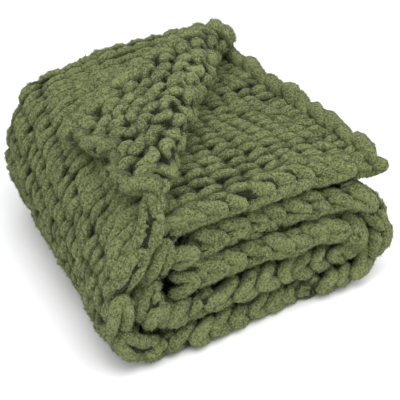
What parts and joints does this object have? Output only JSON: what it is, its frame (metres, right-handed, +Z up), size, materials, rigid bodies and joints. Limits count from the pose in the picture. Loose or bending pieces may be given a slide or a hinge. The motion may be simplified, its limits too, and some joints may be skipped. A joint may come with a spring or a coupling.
{
  "type": "folded chunky knit blanket",
  "caption": "Thick plush knit throw, doubled across its width and folded in three into a stack, with the top layer's free corner turned back.",
  "frame": {"origin": "centre of the folded stack's underside, on the surface it rests on", "axes": "+X from the left fold towards the free end, +Y from the free sides at the front to the crease at the back, +Z up"},
  "size_m": [0.5048, 0.5126, 0.3439],
  "materials": {
    "plush_knit": "matt plush yarn in moss green"
  },
  "bodies": {
    "root": {"blanket": "plush_knit"}
  },
  "joints": []
}
